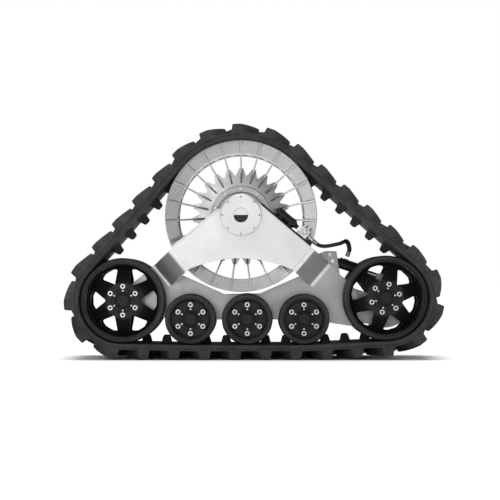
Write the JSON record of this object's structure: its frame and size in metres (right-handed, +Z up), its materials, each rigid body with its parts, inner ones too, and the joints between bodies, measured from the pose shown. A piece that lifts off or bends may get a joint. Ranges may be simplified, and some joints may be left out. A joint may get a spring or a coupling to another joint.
{
  "type": "triangular rubber track unit",
  "caption": "Triangular rubber-track drive unit: moulded belt, toothed drive wheel, idlers, road rollers, welded frame and belt tensioner.",
  "frame": {"origin": "centre of the drive hub's mounting face, on the drive axis", "axes": "+Z up, +X towards the tensioned rear idlers, +Y inboard towards the vehicle, along the drive axis"},
  "size_m": [2.6745, 0.63, 1.6596],
  "materials": {
    "belt_rubber": "moulded ribbed rubber, matt",
    "tyre_rubber": "smooth rubber, satin",
    "silver_paint": "silver-grey metallic paint over welded steel",
    "black_paint": "satin black powder coat",
    "grey_steel": "machined steel",
    "bright_steel": "bright plated steel",
    "hose_rubber": "hydraulic hose",
    "lens_glass": "dark sight glass"
  },
  "bodies": {
    "frame": {"rubber_belt": "belt_rubber", "front_idler_axle": "grey_steel", "roller_1_axle": "grey_steel", "roller_2_axle": "grey_steel", "roller_3_axle": "grey_steel", "side_plate": "silver_paint", "front_joggle": "silver_paint", "rear_joggle": "silver_paint", "front_arm_flange": "silver_paint", "beam_plate_outboard": "silver_paint", "beam_plate_inboard": "silver_paint", "hub_cover": "silver_paint", "bearing_housing": "grey_steel", "yoke_guide_upper": "grey_steel", "yoke_guide_lower": "grey_steel", "bracket_outboard": "grey_steel", "bracket_inboard": "grey_steel", "wheel_bearing": "bright_steel", "cylinder_pin": "bright_steel", "valve_block": "bright_steel", "valve_bracket": "black_paint", "accumulator": "black_paint", "cylinder_barrel": "black_paint", "hose": "hose_rubber"},
    "drive_wheel": {"drive_rim": "silver_paint", "drive_spider": "silver_paint", "drive_hub": "grey_steel"},
    "tensioner": {"idler_yoke": "grey_steel", "rear_idler_axle": "grey_steel", "cylinder_rod": "bright_steel"},
    "front_idler_outboard": {"front_idler_tyre_outboard": "tyre_rubber", "front_idler_wheel_outboard": "black_paint", "front_idler_hub_outboard": "black_paint"},
    "front_idler_inboard": {"front_idler_tyre_inboard": "tyre_rubber", "front_idler_wheel_inboard": "black_paint", "front_idler_hub_inboard": "black_paint"},
    "rear_idler_outboard": {"rear_idler_tyre_outboard": "tyre_rubber", "rear_idler_wheel_outboard": "black_paint", "rear_idler_hub_outboard": "black_paint"},
    "rear_idler_inboard": {"rear_idler_tyre_inboard": "tyre_rubber", "rear_idler_wheel_inboard": "black_paint", "rear_idler_hub_inboard": "black_paint"},
    "roller_1_outboard": {"roller_1_tyre_outboard": "tyre_rubber", "roller_1_wheel_outboard": "black_paint", "roller_1_hub_outboard": "black_paint"},
    "roller_1_inboard": {"roller_1_tyre_inboard": "tyre_rubber", "roller_1_wheel_inboard": "black_paint", "roller_1_hub_inboard": "black_paint"},
    "roller_2_outboard": {"roller_2_tyre_outboard": "tyre_rubber", "roller_2_wheel_outboard": "black_paint", "roller_2_hub_outboard": "black_paint"},
    "roller_2_inboard": {"roller_2_tyre_inboard": "tyre_rubber", "roller_2_wheel_inboard": "black_paint", "roller_2_hub_inboard": "black_paint"},
    "roller_3_outboard": {"roller_3_tyre_outboard": "tyre_rubber", "roller_3_wheel_outboard": "black_paint", "roller_3_hub_outboard": "black_paint"},
    "roller_3_inboard": {"roller_3_tyre_inboard": "tyre_rubber", "roller_3_wheel_inboard": "black_paint", "roller_3_hub_inboard": "black_paint"}
  },
  "joints": [
    {"name": "drive_spin", "type": "hinge", "parent": "frame", "child": "drive_wheel", "pos_m": [0, -0.13, 0], "axis": [0, 1, 0], "continuous": true},
    {"name": "belt_tension", "type": "slide", "parent": "frame", "child": "tensioner", "axis": [0.9483, 0, -0.3173], "range_m": [-0.045, 0]},
    {"name": "front_idler_outboard_spin", "type": "hinge", "parent": "frame", "child": "front_idler_outboard", "pos_m": [-0.8385, -0.13, -0.601], "axis": [0, 1, 0], "continuous": true},
    {"name": "front_idler_inboard_spin", "type": "hinge", "parent": "frame", "child": "front_idler_inboard", "pos_m": [-0.8385, -0.13, -0.601], "axis": [0, 1, 0], "continuous": true},
    {"name": "rear_idler_outboard_spin", "type": "hinge", "parent": "tensioner", "child": "rear_idler_outboard", "pos_m": [1.0245, -0.13, -0.583], "axis": [0, 1, 0], "continuous": true},
    {"name": "rear_idler_inboard_spin", "type": "hinge", "parent": "tensioner", "child": "rear_idler_inboard", "pos_m": [1.0245, -0.13, -0.583], "axis": [0, 1, 0], "continuous": true},
    {"name": "roller_1_outboard_spin", "type": "hinge", "parent": "frame", "child": "roller_1_outboard", "pos_m": [-0.3584, -0.13, -0.732], "axis": [0, 1, 0], "continuous": true},
    {"name": "roller_1_inboard_spin", "type": "hinge", "parent": "frame", "child": "roller_1_inboard", "pos_m": [-0.3584, -0.13, -0.732], "axis": [0, 1, 0], "continuous": true},
    {"name": "roller_2_outboard_spin", "type": "hinge", "parent": "frame", "child": "roller_2_outboard", "pos_m": [0.044, -0.13, -0.732], "axis": [0, 1, 0], "continuous": true},
    {"name": "roller_2_inboard_spin", "type": "hinge", "parent": "frame", "child": "roller_2_inboard", "pos_m": [0.044, -0.13, -0.732], "axis": [0, 1, 0], "continuous": true},
    {"name": "roller_3_outboard_spin", "type": "hinge", "parent": "frame", "child": "roller_3_outboard", "pos_m": [0.4464, -0.13, -0.732], "axis": [0, 1, 0], "continuous": true},
    {"name": "roller_3_inboard_spin", "type": "hinge", "parent": "frame", "child": "roller_3_inboard", "pos_m": [0.4464, -0.13, -0.732], "axis": [0, 1, 0], "continuous": true}
  ]
}
